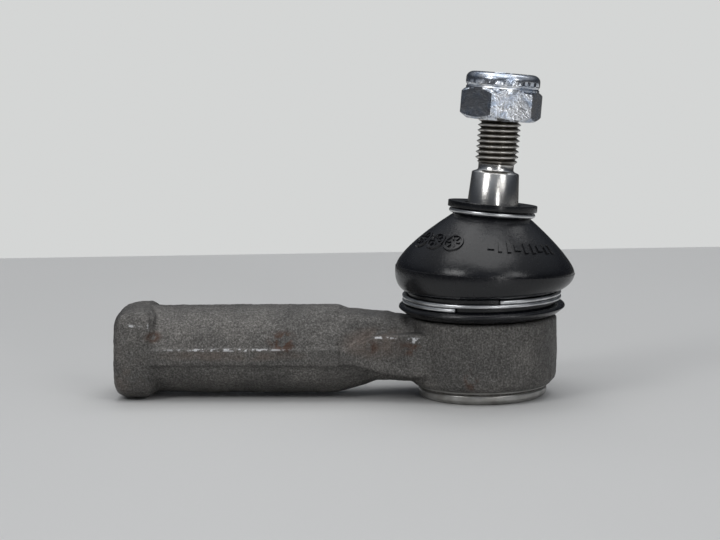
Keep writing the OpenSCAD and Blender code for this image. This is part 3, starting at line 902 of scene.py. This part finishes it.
def add_marks(bm):
    """Plain circles with ticks on one side and a row of plain bars on the other."""
    for a, s in ((math.radians(205), 0.49), (math.radians(223), 0.50), (math.radians(241), 0.51)):
        raised_ring(bm, a, s, 2.2)
        for k in range(6):
            t = TURN * k / 6
            r, _ = shoulder_at(s)
            raised_bar(bm, a + 1.2 * math.cos(t) / r, s + 1.2 * math.sin(t) / 17, 1.0, 0.45, t)
    for k in range(9):
        tall = 3.0 if k % 3 else 1.9
        raised_bar(bm, math.radians(273 + k * 7.2), 0.50, 0.95 if k % 3 else 1.6, tall)


def make_lower_ring(material):
    """One wire of nearly two turns, which climbs clockwise and has both free ends at the front."""
    steps = 96
    path = []
    for k in range(round(steps * LOWER_TURNS) + 1):
        t = k / steps
        a = LOWER_START - TURN * t
        h = LOWER_H + LOWER_PITCH * t
        path.append(in_cup((LOWER_R * math.cos(a), LOWER_R * math.sin(a), h)))
    bm = bmesh.new()
    tube(bm, path, LOWER_WIRE / 2, 14, 0.15)
    piece = make_object("lower_wire", bm, 60)
    piece.data.materials.append(material)
    return piece


def make_upper_ring(material):
    """A closed wire ring under the lip."""
    bm = bmesh.new()
    section = [(UPPER_R + UPPER_WIRE / 2 * math.cos(TURN * j / 16),
                UPPER_H + UPPER_WIRE / 2 * math.sin(TURN * j / 16)) for j in range(16)]
    revolve(bm, section, turned, 128)
    piece = make_object("upper_wire", bm, 60)
    piece.data.materials.append(material)
    return piece


# ---------------------------------------------------------------- stage
CAMERA_AT = (108.49, -685.9, 117.4)
PITCH, YAW, ROLL = math.radians(8.179), math.radians(-4.247), math.radians(-0.774)
FOCAL_PIXELS = 2965.5
IMAGE_WIDTH, SENSOR = 720, 36.0
TABLE_EDGE, TABLE_SLANT = 240.2, 0.094
# World colours from the horizon, at 0, to straight overhead, at 1
SKY = ((0.0, (0.16, 0.16, 0.16)), (0.06, (0.07, 0.075, 0.085)), (0.30, (0.10, 0.11, 0.13)),
       (0.55, (0.42, 0.45, 0.50)), (1.0, (0.95, 0.97, 1.0)))
# Area lights in metres and watts: name, place, aim, size, power
LAMPS = (
    ("ceiling", (0.05, -0.05, 1.1), (0.08, 0, 0), (1.1, 0.8), 4.4),
    ("left_window", (-0.55, -0.7, 0.75), (0.08, 0, 0.03), (0.4, 0.5), 3.0),
    ("right_window", (0.75, -0.6, 0.65), (0.08, 0, 0.03), (0.35, 0.45), 1.3),
    ("strip", (0.42, -0.75, 0.16), (0.09, 0, 0.03), (0.06, 0.6), 0.9),
    ("back", (0.15, 0.55, 0.85), (0.08, 0, 0), (0.9, 0.3), 1.6))


def make_camera():
    """The camera that was matched to the photograph."""
    data = bpy.data.cameras.new("camera")
    data.sensor_width = SENSOR
    data.lens = FOCAL_PIXELS / IMAGE_WIDTH * SENSOR
    data.clip_start = 0.01
    forward = Vector((math.sin(YAW) * math.cos(PITCH), math.cos(YAW) * math.cos(PITCH), -math.sin(PITCH)))
    right = Vector((math.cos(YAW), -math.sin(YAW), 0))
    up = right.cross(forward)
    right, up = right * math.cos(ROLL) + up * math.sin(ROLL), up * math.cos(ROLL) - right * math.sin(ROLL)
    matrix = Matrix((right, up, -forward)).transposed().to_4x4()
    matrix.translation = Vector(CAMERA_AT) * MM
    camera = bpy.data.objects.new("camera", data)
    camera.matrix_world = matrix
    bpy.context.scene.collection.objects.link(camera)
    bpy.context.scene.camera = camera


def area_light(name, place, aim, size, power):
    """A rectangular lamp at place that points at aim."""
    data = bpy.data.lights.new(name, "AREA")
    data.shape = "RECTANGLE"
    data.size, data.size_y = size
    data.energy = power
    lamp = bpy.data.objects.new(name, data)
    lamp.location = place
    direction = Vector(aim) - Vector(place)
    lamp.rotation_euler = direction.to_track_quat("-Z", "Y").to_euler()
    bpy.context.scene.collection.objects.link(lamp)


def make_table():
    """Pale table that ends behind the part, with a slightly uneven painted finish."""
    n = Nodes("table_top", 0.5)
    colour = n.ramp(n.noise(3, 2), [(0.3, (0.60, 0.60, 0.592)), (0.7, (0.64, 0.64, 0.632))])
    material = n.finish(colour)
    bm = bmesh.new()
    edge, wide, deep, thick = TABLE_EDGE, 2500.0, -2500.0, 30.0
    top = BASE_Z - 0.02
    slant = TABLE_SLANT * wide
    corners = ((-wide, deep), (wide, deep), (wide, edge + slant), (-wide, edge - slant))
    skin(bm, [[Vector((x, y, z)) for x, y in corners] for z in (top - thick, top)])
    table = make_object("table", bm)
    table.data.materials.append(material)


def make_world():
    """Lights the scene from a sky, dark low down and bright overhead; the camera sees a pale wall."""
    world = bpy.data.worlds.new("studio")
    bpy.context.scene.world = world
    world.use_nodes = True
    tree = world.node_tree
    tree.nodes.clear()
    out = tree.nodes.new("ShaderNodeOutputWorld")
    mix = tree.nodes.new("ShaderNodeMixShader")
    light = tree.nodes.new("ShaderNodeBackground")
    wall = tree.nodes.new("ShaderNodeBackground")
    path = tree.nodes.new("ShaderNodeLightPath")
    place = tree.nodes.new("ShaderNodeTexCoord")
    split = tree.nodes.new("ShaderNodeSeparateXYZ")
    sky = tree.nodes.new("ShaderNodeValToRGB")
    while len(sky.color_ramp.elements) < len(SKY):
        sky.color_ramp.elements.new(0.5)
    for element, (height, colour) in zip(sky.color_ramp.elements, SKY):
        element.position = height
        element.color = (*colour, 1)
    tree.links.new(place.outputs["Generated"], split.inputs[0])
    tree.links.new(split.outputs["Z"], sky.inputs["Fac"])
    tree.links.new(sky.outputs["Color"], light.inputs["Color"])
    light.inputs["Strength"].default_value = 0.5
    wall.inputs["Color"].default_value = (0.66, 0.67, 0.665, 1)
    wall.inputs["Strength"].default_value = 1.0
    tree.links.new(path.outputs["Is Camera Ray"], mix.inputs[0])
    tree.links.new(light.outputs[0], mix.inputs[1])
    tree.links.new(wall.outputs[0], mix.inputs[2])
    tree.links.new(mix.outputs[0], out.inputs["Surface"])


def place_piece(piece, body, slot, *nodes):
    """Hangs a piece on its body's empty and hides the CAD nodes it stands for; the material slot is not
    used.
    """
    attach(piece, body)
    if nodes:
        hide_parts(*nodes)


# ---------------------------------------------------------------- build
make_camera()
make_table()
make_world()
for lamp in LAMPS:
    area_light(*lamp)
bpy.context.scene.view_settings.view_transform = "Standard"

forged, turned_finish, ground, rolled = forged_steel(), turned_steel(), ground_steel(), thread_steel()
plating, wire, rubber = zinc(), wire_steel(), boot_rubber()
seat_plastic = moulded("seat_plastic", (0.52, 0.50, 0.44), (0.62, 0.60, 0.54))
nylon = moulded("nylon", (0.60, 0.58, 0.50), (0.70, 0.68, 0.60))

place_piece(make_forging(forged), "housing", "forged_steel", "housing")
place_piece(make_foot(turned_finish), "housing", "forged_steel", "housing")
place_piece(make_rod_thread(turned_finish), "housing", "forged_steel", "housing")
place_piece(make_cover(turned_finish), "housing", "cover_steel", "end_cover")
place_piece(make_stud(ground, rolled), "stud", "stud_steel", "ball_stud")
place_piece(make_nut(plating), "nut", "zinc", "lock_nut")
place_piece(make_nut_thread(plating), "nut", "zinc", "lock_nut")
place_piece(make_insert(nylon), "nut_carrier", "nylon", "nut_insert")
place_piece(make_lower_ring(wire), "boot", "ring_wire", "lower_ring")
place_piece(make_upper_ring(wire), "boot_neck", "ring_wire", "upper_ring")

boot = make_boot(rubber)
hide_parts("dust_boot")
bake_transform(boot)

# The seats and the spring lie inside the cup, so their CAD meshes stay and only get a material
for node, material in (("lower_seat", seat_plastic), ("upper_seat", seat_plastic),
                       ("preload_spring", wire)):
    cad = frame["nodes"][node]
    cad.data.materials.clear()
    cad.data.materials.append(material)
